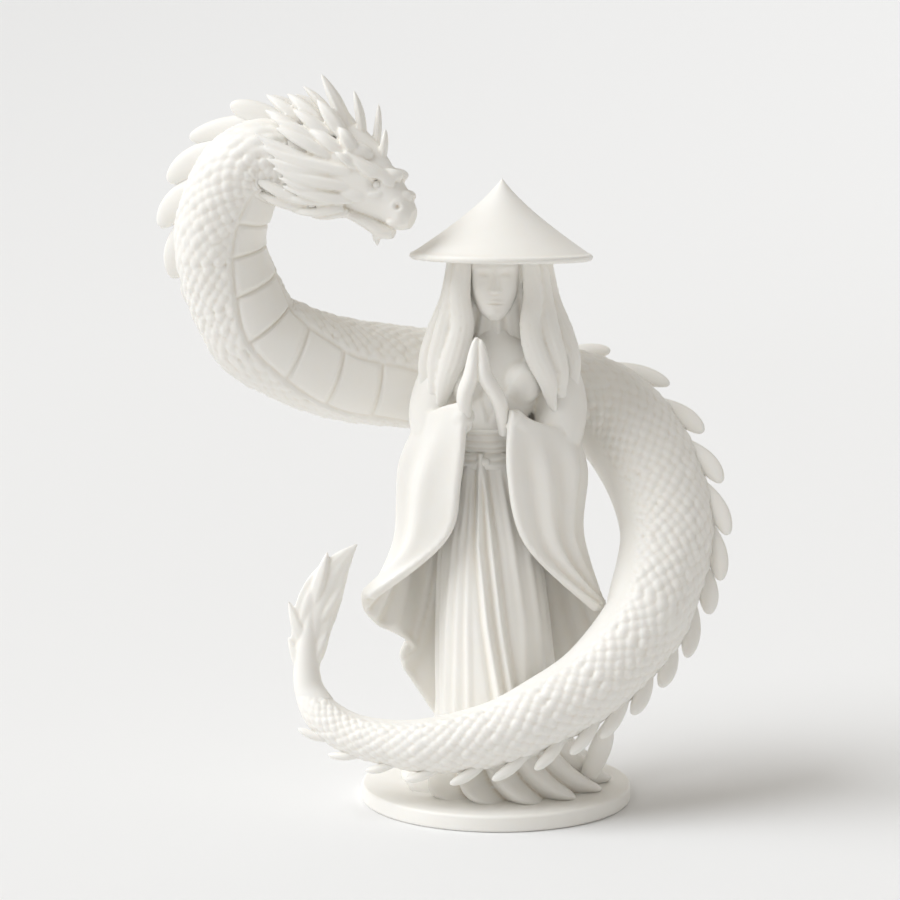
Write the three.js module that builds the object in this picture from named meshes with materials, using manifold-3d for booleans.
// A dragon coiled round a praying maiden in a conical hat, cast in one piece with a round base.
// Millimetres, +Z up. The maiden faces -Y and the origin is the centre of the base's underside.

import * as THREE from 'three';
import Module from 'manifold-3d';
import { LoftGeometry } from 'three/addons/geometries/LoftGeometry.js';
import { mergeVertices } from 'three/addons/utils/BufferGeometryUtils.js';

const wasm = await Module();
wasm.setup();

// Round base.
const baseRadius = 24.5;
const baseHeight = 3;
const baseEdge = 0.5;
const baseSides = 28;

// Conical hat: a thin shell with a hollow curve from the point to the brim.
const hatCentre = [0.7, 0, 99.2];
const hatRadius = 15.9;
const hatRise = 13.6;
const hatWall = 1.1;
const hatCurve = 0.77;
const hatLean = 0.011;
const hatSides = 20;
const hatSteps = 4;

// Skirt: height, centre x, half width, half depth and depth of the folds.
const skirtRows = [
  [2.4, 1.8, 17.4, 16.2, 1.6],
  [5.0, 1.6, 16.4, 15.6, 1.7],
  [9.5, 0.9, 13.0, 13.2, 1.3],
  [16.0, 0.3, 11.0, 12.4, 0.9],
  [26.0, -0.3, 10.4, 11.6, 0.6],
  [38.0, -0.9, 9.6, 10.2, 0.6],
  [50.0, -1.5, 8.3, 8.2, 0.5],
  [58.0, -1.9, 7.2, 6.7, 0.3],
  [64.0, -2.0, 6.4, 5.8, 0.1],
];
const skirtFolds = 12;
const skirtSides = 44;
const skirtSteps = 10;
const hemSwirl = 0.65;
const hemSwirlHeight = 7;

// Upper body under the robe: height, centre x, centre y, half width and half depth.
const chestRows = [
  [60.0, -2.0, 0.0, 6.4, 5.8],
  [67.0, -1.6, 0.0, 6.2, 5.4],
  [73.0, -0.8, 0.0, 8.2, 6.2],
  [79.0, 0.2, 0.8, 10.8, 5.6],
  [82.5, 0.2, 1.0, 8.8, 4.6],
  [85.5, -0.4, 0.6, 3.4, 3.2],
  [90.0, -0.5, -0.4, 2.5, 2.7],
];

// Sash round the waist: height, half width and half depth.
const sashCentre = [-1.9, 0];
const sashRows = [
  [61.0, 6.7, 6.3],
  [61.6, 7.5, 7.0],
  [64.0, 7.2, 6.7],
  [64.4, 6.7, 6.2],
  [67.7, 6.9, 6.3],
  [68.3, 6.3, 5.6],
];

// Arms: x, y, z and radius from the shoulder past the elbow to the wrist.
const rightArmRows = [
  [-6.4, 1.2, 81.2, 4.0],
  [-9.6, 0.6, 76.4, 4.5],
  [-11.0, -0.6, 70.6, 4.8],
  [-10.2, -3.0, 66.4, 4.2],
  [-8.0, -6.8, 68.4, 2.8],
  [-5.6, -10.4, 71.6, 1.9],
];
const leftArmRows = [
  [7.2, 1.2, 81.2, 4.0],
  [10.6, 0.6, 76.4, 4.5],
  [11.4, -0.6, 70.6, 4.7],
  [10.2, -3.0, 65.6, 4.0],
  [6.4, -7.0, 67.0, 2.4],
  [2.4, -10.6, 70.8, 1.9],
];

// Hands pressed together: wrist and fingertip of each.
const rightHand = [[-6.6, -10.6, 70.6], [-3.6, -12.6, 84.3]];
const leftHand = [[2.8, -10.9, 70.6], [-2.6, -12.8, 84.0]];
const palmHalfWidth = 2.0;
const palmHalfThick = 1.6;

// Hanging sleeves: each guide runs from the arm down to the hem; the guides go round the
// opening from the front rim, over the outside, to the edge behind.
const rightSleeve = [
  [[-5.2, -11.4, 74], [-6.4, -11.0, 60], [-9.0, -9.8, 49], [-22.2, -7.0, 38.0]],
  [[-9.4, -7.8, 72.6], [-12.8, -7.6, 60], [-14.8, -7.2, 47], [-24.0, -4.8, 37.6]],
  [[-13.2, -2.4, 70], [-16.2, -2.6, 61], [-17.3, -2.4, 47], [-23.6, -1.6, 34.0]],
  [[-11.4, 1.6, 70], [-14.8, 3.8, 58], [-16.2, 4.2, 43], [-18.8, 1.4, 29.8]],
  [[-9.0, 4.6, 72], [-11.0, 5.4, 54], [-13.2, 5.2, 38], [-15.5, 2.5, 27.0]],
  [[-7.0, 4.8, 70], [-8.6, 5.6, 50], [-11.4, 5.2, 34], [-17.0, 2.6, 23.2]],
  [[-5.0, 4.8, 68], [-6.0, 5.8, 48], [-8.0, 5.2, 30], [-10.8, 2.6, 14.0]],
];
const leftSleeve = [
  [[2.0, -11.6, 72.6], [1.6, -11.6, 61], [5.0, -10.6, 48], [17.6, -7.2, 35.8]],
  [[7.6, -8.0, 69.6], [8.8, -8.8, 60], [10.4, -8.4, 47], [18.9, -5.0, 35.8]],
  [[13.2, -2.6, 68], [14.8, -3.6, 61], [14.0, -4.0, 49], [19.2, -2.0, 34.6]],
  [[12.0, 1.6, 70], [14.0, 3.6, 58], [14.2, 3.6, 46], [18.6, 2.2, 30.4]],
  [[8.0, 4.8, 71], [9.4, 5.4, 54], [11.0, 5.2, 40], [14.6, 3.6, 25.4]],
  [[4.6, 4.8, 68], [5.6, 5.6, 50], [7.0, 5.2, 34], [10.0, 3.6, 20.0]],
];
const sleeveWall = 1.7;
const sleeveSteps = 6;
const sleeveSpan = 7;

// Head of the maiden: height, centre y, half width and half depth, from chin to crown.
const faceX = -0.5;
const faceRows = [
  [87.7, -4.6, 1.2, 1.2],
  [89.0, -3.2, 3.0, 3.4],
  [92.0, -1.4, 4.5, 5.4],
  [96.0, -0.7, 5.1, 6.2],
  [100.0, -0.2, 5.1, 6.2],
  [104.0, 0.2, 3.4, 4.2],
];
const noseRoot = [-0.5, -6.3, 95.4];
const noseTip = [-0.5, -7.9, 92.4];

// Long hair over the back: height, centre x, centre y, half width and half depth.
const hairRows = [
  [108.0, 0.8, 0.2, 2.4, 2.2],
  [104.0, 0.6, 0.8, 6.0, 5.8],
  [98.0, 0.5, 2.0, 7.5, 6.2],
  [91.0, 0.5, 2.6, 8.6, 6.2],
  [84.0, 0.8, 4.0, 11.4, 5.8],
  [76.0, 0.4, 5.4, 13.0, 5.0],
  [66.0, -0.4, 6.6, 12.0, 3.8],
  [54.0, -0.8, 7.6, 9.0, 2.4],
];
const hairStrands = 8;
const hairGroove = 0.35;

// Locks over the shoulders: root, tip, bow and half width.
const hairLocks = [
  [[-6.2, -3.0, 99], [-8.6, -8.8, 76], [1.6, -2.6, 1], 2.5],
  [[-5.8, -1.6, 98], [-11.4, -4.4, 76], [2.2, -1.6, 1], 2.0],
  [[6.0, -3.2, 99], [10.0, -8.4, 71.5], [-2.0, -2.8, 1], 2.6],
  [[6.6, -1.6, 98], [12.6, -4.2, 75], [-1.8, -1.6, 1], 2.2],
];

// Ribbon ends hanging from the sash down the front of the skirt.
const ribbons = [
  [[-3.4, -6.4, 62.5], [-0.8, -12.6, 27], [-1.4, -1.8, 0]],
  [[-1.6, -6.4, 62.5], [1.6, -12.6, 25], [-0.6, -2.0, 0]],
];
const ribbonHalfWidth = 1.3;
const ribbonHalfThick = 0.7;

// Dragon's backbone from the skull to the tail: x, y, z, body radius and the way the back faces.
const spineRows = [
  [-33.4, -3.0, 113.0, 5.4, 0.30, -0.10, 0.95],
  [-36.6, -2.0, 114.2, 6.3, 0.10, 0.10, 1.00],
  [-41.6, -1.0, 115.1, 7.3, -0.34, 0.16, 0.93],
  [-46.4, 0.0, 111.0, 7.7, -0.80, 0.30, 0.50],
  [-49.3, 2.0, 100.1, 7.8, -0.90, 0.42, 0.00],
  [-44.5, 5.0, 86.1, 8.3, -0.42, 0.85, -0.30],
  [-37.8, 7.5, 81.0, 8.5, -0.12, 0.98, -0.10],
  [-28.2, 11.0, 77.4, 8.9, 0.00, 0.97, 0.22],
  [-16.5, 14.0, 75.6, 8.9, 0.00, 0.93, 0.36],
  [0.3, 16.5, 73.3, 8.9, 0.10, 0.75, 0.66],
  [18.2, 14.0, 70.2, 8.7, 0.35, 0.45, 0.80],
  [26.8, 9.0, 61.7, 8.8, 0.75, 0.00, 0.60],
  [30.6, 1.0, 49.3, 8.3, 0.97, -0.20, 0.10],
  [27.4, -7.0, 37.7, 7.6, 0.85, -0.20, -0.45],
  [24.4, -10.0, 32.4, 7.1, 0.72, -0.25, -0.65],
  [16.6, -14.0, 24.7, 6.5, 0.40, -0.35, -0.85],
  [7.6, -16.5, 19.6, 6.0, 0.15, -0.45, -0.87],
  [-0.5, -17.6, 16.1, 5.5, 0.05, -0.48, -0.87],
  [-11.2, -17.5, 14.1, 4.7, -0.10, -0.45, -0.88],
  [-18.8, -16.0, 14.1, 3.9, -0.20, -0.40, -0.88],
  [-25.7, -13.5, 15.1, 3.5, -0.45, -0.35, -0.80],
  [-31.1, -11.0, 18.1, 3.1, -0.75, -0.30, -0.55],
  [-33.6, -9.0, 22.2, 2.5, -0.95, -0.25, -0.10],
  [-34.0, -8.0, 28.0, 1.95, -1.00, -0.20, 0.00],
  [-34.1, -7.5, 32.0, 0.9, -1.00, -0.20, 0.00],
];
const bodySteps = 46;
const bodySides = 12;

// Fins along the dragon's back: the distance of each tip from the skull, and their size on the
// body, with what is added on the neck and on the tail.
const finTips = [
  10, 14, 19.8, 25.2, 31.7, 38, 45, 53, 61, 69, 77, 85, 93, 101, 108.5, 116.3, 125, 133, 140, 146.3, 152.2,
  158.3, 164.5, 170.5, 176, 181.5, 187.5, 193.5, 200, 206.5, 213, 219, 224.5,
];
const finSize = { length: 7.6, rise: 3.0, halfHeight: 1.9, halfThick: 1.15 };
const finNeckMore = { length: -0.4, rise: 1.7, halfHeight: 0.7, halfThick: 0.15 };
const finTailMore = { length: 0.6, rise: 0.5, halfHeight: -0.55, halfThick: 0.3 };
const finNeckEnd = [58, 78];
const finTailStart = [165, 185];
const finFullRadius = 8;
const finSmallest = 0.56;
const finTailScale = 0.12;

// Leaf at the end of the tail and the barbs beside it.
const leafRoot = [-33.9, -8.2, 24.5];
const leafTip = [-24.5, -6.4, 48.1];
const leafBow = [-5.4, 0, 3.0];
const leafHalfWidth = 3.7;
const leafHalfThick = 1.2;
const leafBarbs = [
  [[-34.4, -8.0, 24.5], [-37.5, -7.8, 31.2]],
  [[-34.6, -7.7, 29.5], [-37.1, -7.5, 37.8]],
  [[-33.0, -7.2, 38.0], [-29.9, -6.9, 46.8]],
  [[-33.4, -7.9, 26.5], [-29.9, -7.6, 33.5]],
  [[-32.0, -7.4, 34.5], [-27.2, -7.0, 41.0]],
];
const barbHalfWidth = 1.5;

// Dragon's head: where the skull starts, the way it points and its sections from nape to nose
// as distance ahead, half width, top and underside.
const skullStart = [-36.6, -2.0, 114.2];
const skullAhead = [22.2, -7.0, -8.0];
const skullRows = [
  [-3.0, 5.8, 5.8, -6.0],
  [2.0, 6.4, 7.8, -6.2],
  [7.0, 6.4, 8.9, -5.2],
  [12.0, 5.8, 8.6, -4.2],
  [16.0, 4.8, 7.6, -3.4],
  [19.0, 3.8, 5.2, -3.2],
  [21.0, 3.5, 3.3, -3.5],
  [22.8, 3.3, 2.4, -3.7],
  [24.4, 1.9, 0.9, -2.9],
];
const jawRows = [
  [9.0, 4.6, -2.2, -5.2],
  [13.0, 3.9, -2.2, -4.9],
  [17.0, 2.9, -2.6, -5.5],
  [20.5, 2.2, -3.2, -6.5],
  [22.8, 1.1, -3.6, -5.8],
];
const crestRows = [
  [-5.0, 2.8, 8.2, 2.0],
  [0.0, 3.8, 10.8, 2.0],
  [5.0, 4.0, 12.4, 2.0],
  [10.0, 3.6, 12.0, 2.0],
  [14.0, 2.8, 10.0, 2.0],
  [17.5, 1.6, 7.2, 2.0],
];
const browRoot = [20.0, 2.0, 4.4];
const browTip = [11.0, 5.4, 7.0];
const eyePlace = [17.3, 3.9, 2.8];
const eyeRadius = 1.3;
const nostrilPlace = [23.0, 1.9, 0.6];
const nostrilRadius = 1.4;

// Horns and mane in the skull's own directions: root, tip and half width.
const crestSpikes = [
  [[9.0, 0.6, 9.5], [0.9, 1.0, 17.0], 1.9],
  [[11.5, 0.0, 9.5], [7.2, 0.0, 16.2], 1.5],
  [[13.8, -1.0, 8.5], [11.6, -1.5, 15.4], 1.3],
  [[16.0, 0.2, 6.8], [14.8, 0.2, 11.8], 1.1],
];
const pairedSpikes = [
  [[9.5, 2.6, 9.0], [1.9, 3.0, 13.4], 1.8],
  [[4.0, 2.4, 9.4], [-4.1, 1.8, 12.4], 1.9],
  [[0.5, 2.2, 7.6], [-8.0, 1.4, 10.9], 1.9],
  [[10.5, 4.4, 6.0], [3.3, 5.4, 8.2], 1.7],
  [[3.5, 4.8, 5.0], [-2.9, 6.2, 6.6], 1.8],
  [[13.3, 4.0, 4.4], [9.0, 6.4, 6.2], 1.2],
  [[6.5, 5.0, 2.5], [-4.9, 7.2, 2.6], 1.8],
  [[9.5, 5.0, 0.4], [-0.9, 7.7, 0.0], 1.7],
  [[10.5, 4.6, -1.6], [1.7, 7.2, -2.4], 1.6],
  [[11.5, 3.6, -3.2], [4.0, 5.0, -6.4], 1.5],
];
const chinTuft = [[19.4, 0.0, -5.2], [20.6, 0.0, -8.0]];

const resinColour = 0xeeece7;
const resinRoughness = 0.55;

const vec = (x, y, z) => new THREE.Vector3(x, y, z);
const place = (list) => vec(...list);

// The row at t, from 0 to 1, on a smooth line through evenly spaced rows of numbers.
function along(rows, t) {
  const last = rows.length - 1;
  const at = THREE.MathUtils.clamp(t, 0, 1) * last;
  const step = Math.min(Math.floor(at), last - 1);
  const f = at - step;
  const row = (k) => rows[THREE.MathUtils.clamp(step + k, 0, last)];
  return row(0).map((b, n) => {
    const a = row(-1)[n];
    const c = row(1)[n];
    const d = row(2)[n];
    return b + 0.5 * f * (c - a + f * (2 * a - 5 * b + 4 * c - d + f * (3 * (b - c) + d - a)));
  });
}

// A closed solid from a geometry, with its faces turned outwards.
function solid(geometry) {
  const bare = new THREE.BufferGeometry();
  bare.setAttribute('position', geometry.getAttribute('position'));
  bare.setIndex(geometry.getIndex());
  const clean = mergeVertices(bare, 1e-4);
  const points = clean.getAttribute('position');
  const index = clean.getIndex().array;
  const corner = (i) => vec().fromBufferAttribute(points, i);
  const faces = [];
  let volume = 0;
  for (let i = 0; i < index.length; i += 3) {
    const [a, b, c] = index.slice(i, i + 3);
    if (a !== b && b !== c && c !== a) {
      faces.push([a, b, c]);
      volume += corner(a).dot(corner(b).cross(corner(c)));
    }
  }
  if (volume < 0) {
    faces.forEach((face) => face.reverse());
  }
  return new wasm.Manifold(
    new wasm.Mesh({
      numProp: 3,
      vertProperties: Float32Array.from(points.array),
      triVerts: Uint32Array.from(faces.flat()),
    }),
  );
}

// A loft drawn together at both ends, or run out to a tip; pointAt gives the point at t along
// it and at an angle round it.
function loft(steps, sides, pointAt, tip = null) {
  const drawnIn = (ring) => {
    const middle = vec(0, 0, 0);
    ring.forEach((point) => middle.addScaledVector(point, 1 / sides));
    return ring.map(() => middle);
  };
  const sections = [];
  const last = tip ? steps - 1 : steps;
  for (let i = 0; i <= last; i += 1) {
    const ring = [];
    for (let j = 0; j < sides; j += 1) {
      ring.push(pointAt(i / steps, (2 * Math.PI * j) / sides));
    }
    sections.push(ring);
  }
  const end = sections[last];
  sections.unshift(drawnIn(sections[0]));
  sections.push(tip ? end.map(() => tip) : drawnIn(end));
  return solid(new LoftGeometry(sections, { closed: true }));
}

// Centre, heading and two directions across a line of rows x, y, z; `outward` leads the first.
function frameAt(rows, t, outward) {
  const centre = vec(...along(rows, t).slice(0, 3));
  const after = vec(...along(rows, t + 0.002).slice(0, 3));
  const before = vec(...along(rows, t - 0.002).slice(0, 3));
  const ahead = after.sub(before).normalize();
  const out = outward.clone().addScaledVector(ahead, -outward.dot(ahead)).normalize();
  return { centre, ahead, out, side: ahead.clone().cross(out) };
}

// A round limb through rows x, y, z, radius.
function limb(rows, steps, sides) {
  return loft(steps, sides, (t, angle) => {
    const { centre, out, side } = frameAt(rows, t, vec(0, 0.8, 0.6));
    const radius = along(rows, t)[3];
    centre.addScaledVector(out, radius * Math.cos(angle));
    return centre.addScaledVector(side, radius * Math.sin(angle));
  });
}

// An upright body through rows height, centre x, centre y, half width, half depth.
function upright(rows, steps, sides, swell = () => 0) {
  return loft(steps, sides, (t, angle) => {
    const [z, x, y, wide, deep] = along(rows, t);
    const extra = swell(angle, z);
    return vec(x + (wide + extra) * Math.cos(angle), y + (deep + extra) * Math.sin(angle), z);
  });
}

// Relative girth of a spike: it swells from its foot and runs out to a point, blunter as
// `blunt` gets smaller.
function girth(t, swellAt, foot, blunt) {
  if (t < swellAt) {
    return foot + (1 - foot) * Math.sin((0.5 * Math.PI * t) / swellAt);
  }
  const left = Math.cos((0.5 * Math.PI * (t - swellAt)) / (1 - swellAt));
  return Math.max(left, 0) ** blunt;
}

// A flat spike on a bowed line from root to tip; `across` is the direction of its width.
function spike(root, tip, bow, wide, thick, across, shape = {}) {
  const { steps = 3, sides = 4, swellAt = 0.35, foot = 0.75, blunt = 1 } = shape;
  const middle = root.clone().lerp(tip, 0.5).add(bow);
  const line = new THREE.QuadraticBezierCurve3(root, middle, tip);
  const pointAt = (t, angle) => {
    const ahead = line.getTangent(t);
    const out = across.clone().addScaledVector(ahead, -across.dot(ahead)).normalize();
    const side = ahead.clone().cross(out);
    const size = girth(t, swellAt, foot, blunt);
    const point = line.getPoint(t).addScaledVector(out, wide * size * Math.cos(angle));
    return point.addScaledVector(side, thick * size * Math.sin(angle));
  };
  return loft(steps, sides, pointAt, tip);
}

// A thick sheet of cloth stretched over guide lines.
function sheet(guides, steps, span, wall) {
  const pointAt = (u, v) => vec(...along(guides.map((guide) => along(guide, v)), u));
  const positions = [];
  const index = [];
  const count = (steps + 1) * (span + 1);
  for (const offset of [0.5 * wall, -0.5 * wall]) {
    for (let i = 0; i <= steps; i += 1) {
      for (let j = 0; j <= span; j += 1) {
        const u = j / span;
        const v = i / steps;
        const alongSpan = pointAt(u + 0.01, v).sub(pointAt(u - 0.01, v));
        const alongDrop = pointAt(u, v + 0.01).sub(pointAt(u, v - 0.01));
        const normal = alongSpan.cross(alongDrop).normalize();
        positions.push(...pointAt(u, v).addScaledVector(normal, offset).toArray());
      }
    }
  }
  const quad = (a, b, c, d) => index.push(a, b, c, a, c, d);
  const at = (i, j) => i * (span + 1) + j;
  for (let i = 0; i < steps; i += 1) {
    for (let j = 0; j < span; j += 1) {
      const face = [at(i, j), at(i, j + 1), at(i + 1, j + 1), at(i + 1, j)];
      quad(...face);
      quad(...face.reverse().map((n) => n + count));
    }
    quad(at(i, 0), at(i + 1, 0), at(i + 1, 0) + count, at(i, 0) + count);
    quad(at(i + 1, span), at(i, span), at(i, span) + count, at(i + 1, span) + count);
  }
  for (let j = 0; j < span; j += 1) {
    quad(at(0, j + 1), at(0, j), at(0, j) + count, at(0, j + 1) + count);
    quad(at(steps, j), at(steps, j + 1), at(steps, j + 1) + count, at(steps, j) + count);
  }
  const geometry = new THREE.BufferGeometry();
  geometry.setAttribute('position', new THREE.Float32BufferAttribute(positions, 3));
  geometry.setIndex(index);
  return solid(geometry);
}

// A turned solid from radius and height pairs that start and end on the axis.
function turned(profile, sides) {
  const outline = profile.map(([radius, height]) => new THREE.Vector2(radius, height));
  return new THREE.LatheGeometry(outline, sides).rotateX(Math.PI / 2);
}

function ball(centre, radius) {
  return solid(new THREE.SphereGeometry(radius, 5, 3).translate(...centre.toArray()));
}

function makeBase() {
  const profile = [
    [0, 0],
    [baseRadius - baseEdge, 0],
    [baseRadius, baseEdge],
    [baseRadius, baseHeight - baseEdge],
    [baseRadius - baseEdge, baseHeight],
    [0, baseHeight],
  ];
  return solid(turned(profile, baseSides));
}

function makeHat() {
  const rise = (radius) => hatRise * (1 - (radius / hatRadius) ** hatCurve);
  const outer = [];
  const inner = [];
  for (let i = 0; i <= hatSteps; i += 1) {
    const part = i / hatSteps;
    const radius = hatRadius * part ** 1.3;
    outer.push([radius, rise(radius)]);
    inner.unshift([radius * 0.97, rise(radius) - hatWall * (1.6 - 0.6 * part)]);
  }
  const hat = turned([...outer, ...inner], hatSides);
  hat.rotateY(hatLean).translate(...hatCentre);
  return solid(hat);
}

function makeSkirt() {
  return loft(skirtSteps, skirtSides, (t, angle) => {
    const [z, x, wide, deep, fold] = along(skirtRows, t);
    const swirl = hemSwirl * Math.exp(-z / hemSwirlHeight);
    const wave = fold * Math.cos(skirtFolds * (angle - swirl));
    return vec(x + (wide + wave) * Math.cos(angle), (deep + wave) * Math.sin(angle), z);
  });
}

function makeMaiden() {
  const front = vec(0, -1, 0);
  const sideways = vec(1, 0, 0);
  const none = vec(0, 0, 0);
  const [sashX, sashY] = sashCentre;
  const belt = sashRows.map(([z, wide, deep]) => [z, sashX, sashY, wide, deep]);
  const head = faceRows.map(([z, y, wide, deep]) => [z, faceX, y, wide, deep]);
  const strands = (angle, z) => (z > 100 ? 0 : hairGroove * Math.cos(hairStrands * angle));
  const handShape = { foot: 0.8, swellAt: 0.4, blunt: 0.7, steps: 4, sides: 6 };
  const parts = [
    makeSkirt(),
    upright(chestRows, 7, 12),
    upright(belt, 5, 14),
    upright(head, 6, 10),
    upright(hairRows, 7, 16, strands),
    limb(rightArmRows, 6, 7),
    limb(leftArmRows, 6, 7),
    sheet(rightSleeve, sleeveSteps, sleeveSpan, sleeveWall),
    sheet(leftSleeve, sleeveSteps, sleeveSpan, sleeveWall),
    spike(place(noseRoot), place(noseTip), none, 0.7, 0.6, sideways, { swellAt: 0.8, foot: 0.3 }),
  ];
  for (const [wrist, tip] of [rightHand, leftHand]) {
    const hand = [place(wrist), place(tip), vec(0, -0.8, -0.6)];
    parts.push(spike(...hand, palmHalfWidth, palmHalfThick, front, handShape));
  }
  for (const [root, tip, bow, wide] of hairLocks) {
    const lock = [place(root), place(tip), place(bow)];
    parts.push(spike(...lock, wide, 0.6 * wide, sideways, { steps: 4, swellAt: 0.5 }));
  }
  for (const [root, tip, bow] of ribbons) {
    const ribbon = [place(root), place(tip), place(bow)];
    const shape = { steps: 4, swellAt: 0.7, foot: 0.8, blunt: 0.5 };
    parts.push(spike(...ribbon, ribbonHalfWidth, ribbonHalfThick, sideways, shape));
  }
  return parts;
}

// Where along the backbone, from 0 to 1, a distance from the skull falls.
function makeRuler(rows, count) {
  const reach = [0];
  let last = vec(...rows[0].slice(0, 3));
  for (let i = 1; i <= count; i += 1) {
    const next = vec(...along(rows, i / count).slice(0, 3));
    reach.push(reach[i - 1] + next.distanceTo(last));
    last = next;
  }
  const total = reach[count];
  const find = (distance) => {
    const wanted = THREE.MathUtils.clamp(distance, 0, total);
    const i = Math.min(Math.max(reach.findIndex((value) => value >= wanted), 1), count);
    return (i - 1 + (wanted - reach[i - 1]) / (reach[i] - reach[i - 1])) / count;
  };
  return { total, find };
}

const ruler = makeRuler(spineRows, 600);

// Body frame and radius at a distance from the skull.
function bodyAt(distance) {
  const t = ruler.find(distance);
  const row = along(spineRows, t);
  return { ...frameAt(spineRows, t, vec(...row.slice(4, 7))), radius: row[3] };
}

function makeDragonBody() {
  return loft(bodySteps, bodySides, (t, angle) => {
    const { centre, out, side, radius } = bodyAt(t * ruler.total);
    centre.addScaledVector(out, radius * Math.cos(angle));
    return centre.addScaledVector(side, radius * Math.sin(angle));
  });
}

function makeFins() {
  return finTips.map((reach) => {
    const there = bodyAt(reach);
    const onNeck = 1 - THREE.MathUtils.smoothstep(reach, ...finNeckEnd);
    const onTail = THREE.MathUtils.smoothstep(reach, ...finTailStart);
    const grown = (name) => finSize[name] + onNeck * finNeckMore[name] + onTail * finTailMore[name];
    const scale = THREE.MathUtils.clamp(there.radius / finFullRadius + finTailScale * onTail, finSmallest, 1);
    const here = bodyAt(Math.max(reach - grown("length") * scale, 0));
    const root = here.centre.clone().addScaledVector(here.out, here.radius - 0.9 * scale);
    const tip = there.centre.clone().addScaledVector(there.out, there.radius + grown("rise") * scale);
    const bow = here.out.clone().multiplyScalar(1.2 * scale);
    const shape = { steps: 3, swellAt: 0.5, foot: 0.7, blunt: 0.5 };
    return spike(root, tip, bow, grown("halfHeight") * scale, grown("halfThick") * scale, here.out, shape);
  });
}

function makeTailLeaf() {
  const across = vec(1, 0, -0.4);
  const shape = { steps: 7, swellAt: 0.45, foot: 0.5 };
  const blade = [place(leafRoot), place(leafTip), place(leafBow)];
  const parts = [spike(...blade, leafHalfWidth, leafHalfThick, across, shape)];
  for (const [root, tip] of leafBarbs) {
    const bow = vec(0, 0, 0);
    parts.push(spike(place(root), place(tip), bow, barbHalfWidth, leafHalfThick, across));
  }
  return parts;
}

function makeDragonHead() {
  const ahead = place(skullAhead).normalize();
  const up = vec(0, 0, 1).addScaledVector(ahead, -ahead.z).normalize();
  const side = ahead.clone().cross(up);
  const inHead = (list) => {
    const point = place(skullStart).addScaledVector(ahead, list[0]);
    return point.addScaledVector(side, list[1]).addScaledVector(up, list[2]);
  };
  const mirrored = ([a, b, c]) => [a, -b, c];
  const bony = (rows, steps, sides) =>
    loft(steps, sides, (t, angle) => {
      const [a, wide, top, under] = along(rows, t);
      const middle = 0.5 * (top + under);
      const tall = 0.5 * (top - under);
      return inHead([a, wide * Math.sin(angle), middle + tall * Math.cos(angle)]);
    });
  const parts = [bony(skullRows, 10, 10), bony(jawRows, 4, 6), bony(crestRows, 5, 6)];
  const addSpike = (root, tip, wide) => {
    const middle = [0.5 * (root[0] + tip[0]), 0.5 * (root[1] + tip[1]), 0];
    const outward = side.clone().multiplyScalar(middle[1]).addScaledVector(up, 2);
    const bow = outward.clone().normalize().multiplyScalar(1.2);
    const across = ahead.clone().cross(outward).normalize();
    parts.push(spike(inHead(root), inHead(tip), bow, wide, 0.6 * wide, across, { swellAt: 0.4 }));
  };
  crestSpikes.forEach(([root, tip, wide]) => addSpike(root, tip, wide));
  for (const [root, tip, wide] of [...pairedSpikes, [browRoot, browTip, 1.1]]) {
    addSpike(root, tip, wide);
    addSpike(mirrored(root), mirrored(tip), wide);
  }
  for (const [spot, radius] of [[eyePlace, eyeRadius], [nostrilPlace, nostrilRadius]]) {
    parts.push(ball(inHead(spot), radius));
    parts.push(ball(inHead(mirrored(spot)), radius));
  }
  const [tuftRoot, tuftTip] = chinTuft.map(inHead);
  parts.push(spike(tuftRoot, tuftTip, vec(0, 0, 0), 1.2, 0.8, side));
  return parts;
}

const pieces = [
  makeBase(),
  makeHat(),
  ...makeMaiden(),
  makeDragonBody(),
  ...makeFins(),
  ...makeTailLeaf(),
  ...makeDragonHead(),
];
// Slivers of no volume that the join may leave are not part of the casting.
const bodies = wasm.Manifold.union(pieces).decompose();
const statue = bodies.reduce((best, body) => (body.volume() > best.volume() ? body : best));
const { vertProperties, triVerts } = statue.getMesh();

const geometry = new THREE.BufferGeometry();
geometry.setAttribute('position', new THREE.Float32BufferAttribute(vertProperties, 3));
geometry.setIndex(Array.from(triVerts));
geometry.computeVertexNormals();

const resin = new THREE.MeshStandardMaterial({
  color: resinColour,
  roughness: resinRoughness,
  metalness: 0,
});
resin.name = 'white_resin';

const mesh = new THREE.Mesh(geometry, resin);
mesh.name = 'dragon_statue';

const part = new THREE.Group();
part.add(mesh);

export default part;
